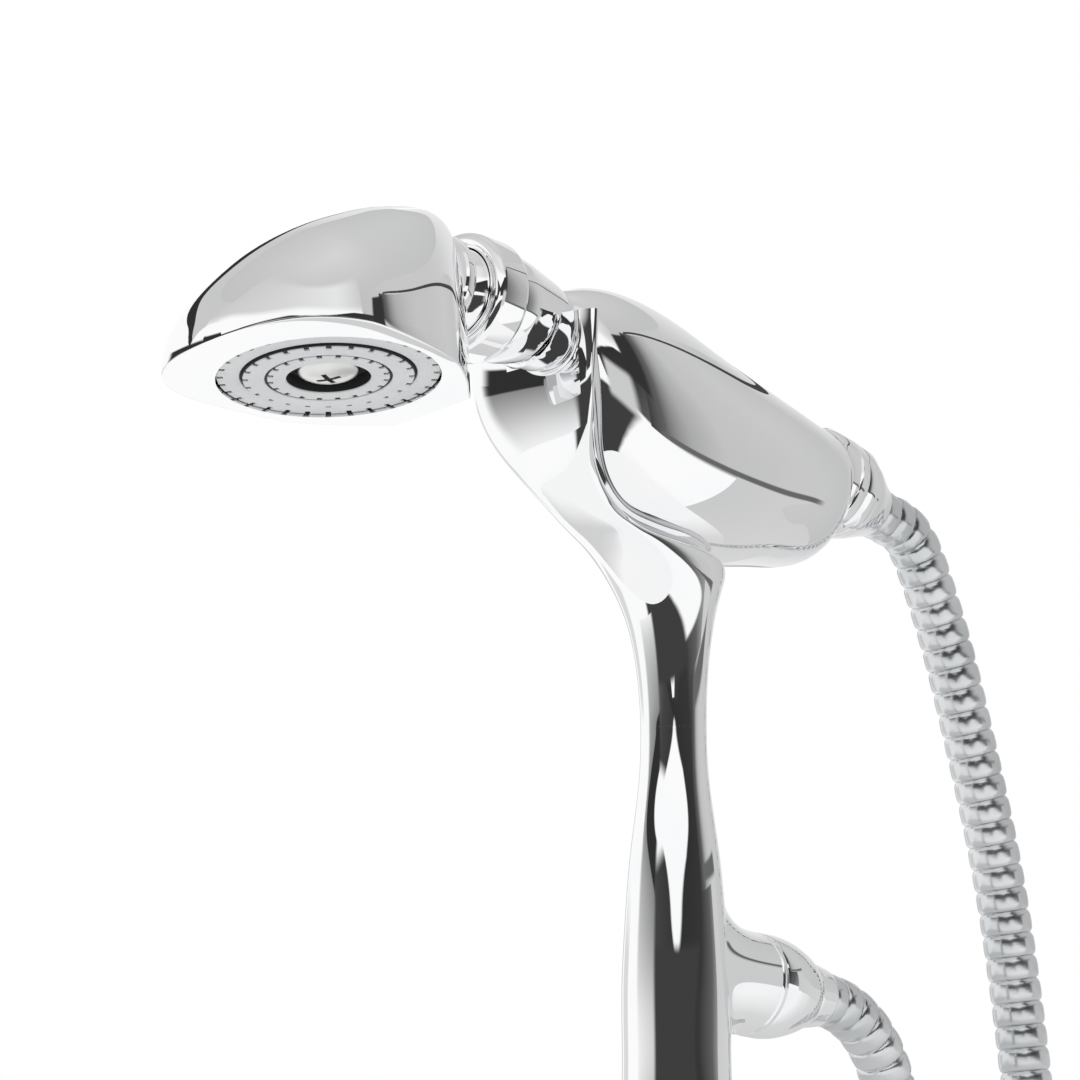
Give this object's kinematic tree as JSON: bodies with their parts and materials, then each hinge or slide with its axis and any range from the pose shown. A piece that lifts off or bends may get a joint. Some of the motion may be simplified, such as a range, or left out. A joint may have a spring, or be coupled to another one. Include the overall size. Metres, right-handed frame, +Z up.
{
  "type": "bath shower mixer",
  "caption": "Chromed deck bath shower mixer: lever valves, spout with diverter, hourglass column with a fork cradle, lift-off handset with a swivel spray head and ribbed hose.",
  "frame": {"origin": "midway between the two inlet tails, on the deck plane", "axes": "+Z up from the deck, +X from the hot side to the cold side, -Y to the front, where the spout and the spray head point"},
  "size_m": [0.2962, 0.4112, 0.3708],
  "materials": {
    "chrome": "polished mirror plating",
    "chrome_shell": "polished mirror plating",
    "hose": "metallised ribbed sleeve",
    "brass": "plain machined",
    "rubber": "plain",
    "ceramic": "lapped ceramic",
    "plastic": "moulded",
    "spray_face": "satin grey",
    "steel": "plain",
    "hot_mark": "enamelled",
    "cold_mark": "enamelled"
  },
  "bodies": {
    "mixer": {"inlet_tails": "brass", "flange_gaskets": "rubber", "hot_leg": "chrome", "cold_leg": "chrome", "check_valves": "plastic", "leg_seals": "rubber", "mixer_body": "chrome", "hot_cartridge": "brass", "cold_cartridge": "brass", "valve_seats": "rubber", "hot_fixed_disc": "ceramic", "cold_fixed_disc": "ceramic", "spindle_seals": "rubber", "valve_shrouds": "chrome", "spout": "chrome", "spout_seal": "rubber", "aerator_shell": "chrome", "aerator_core": "plastic", "aerator_seal": "rubber", "diverter_bonnet": "chrome", "column": "chrome", "column_seal": "rubber", "cradle": "chrome", "cradle_screw": "steel", "outlet_nipple": "brass", "outlet_washer": "rubber", "hose_union_nut": "chrome", "hose_ferrule": "chrome", "hose_rise": "hose", "hose_coil": "hose", "hose_tie": "rubber", "hose_drop": "hose"},
    "hot_valve": {"hot_spindle": "brass", "hot_moving_disc": "ceramic", "hot_handle": "chrome", "hot_screw": "steel", "hot_index": "hot_mark"},
    "cold_valve": {"cold_spindle": "brass", "cold_moving_disc": "ceramic", "cold_handle": "chrome", "cold_screw": "steel", "cold_index": "cold_mark"},
    "diverter": {"diverter_rod": "brass", "diverter_knob": "chrome", "diverter_washer": "rubber"},
    "handset": {"handle_body": "chrome_shell", "neck": "chrome", "ball_nut": "chrome", "tail_collar": "chrome", "hose_cone_nut": "chrome", "ball_seal": "rubber"},
    "swivel": {"ball_seat": "plastic"},
    "head": {"swivel_ball": "chrome", "head_shell": "chrome_shell", "spray_plate": "spray_face", "spray_gasket": "rubber", "spray_screw": "steel"}
  },
  "joints": [
    {"name": "handset_lift", "type": "slide", "parent": "mixer", "child": "handset", "axis": [0, 0, 1], "range_m": [0, 0.06]},
    {"name": "head_spin", "type": "hinge", "parent": "handset", "child": "swivel", "pos_m": [0, -0.0765, 0.2953], "axis": [0, 1, 0], "continuous": true},
    {"name": "head_tilt", "type": "hinge", "parent": "swivel", "child": "head", "pos_m": [0, -0.0765, 0.2953], "axis": [1, 0, 0], "range_deg": [-15, 15]},
    {"name": "hot_turn", "type": "hinge", "parent": "mixer", "child": "hot_valve", "pos_m": [-0.09, 0, 0.085], "axis": [0, 0, 1], "range_deg": [0, 90]},
    {"name": "cold_turn", "type": "hinge", "parent": "mixer", "child": "cold_valve", "pos_m": [0.09, 0, 0.085], "axis": [0, 0, 1], "range_deg": [-90, 0]},
    {"name": "diverter_lift", "type": "slide", "parent": "mixer", "child": "diverter", "axis": [0, 0, 1], "range_m": [0, 0.008]}
  ]
}
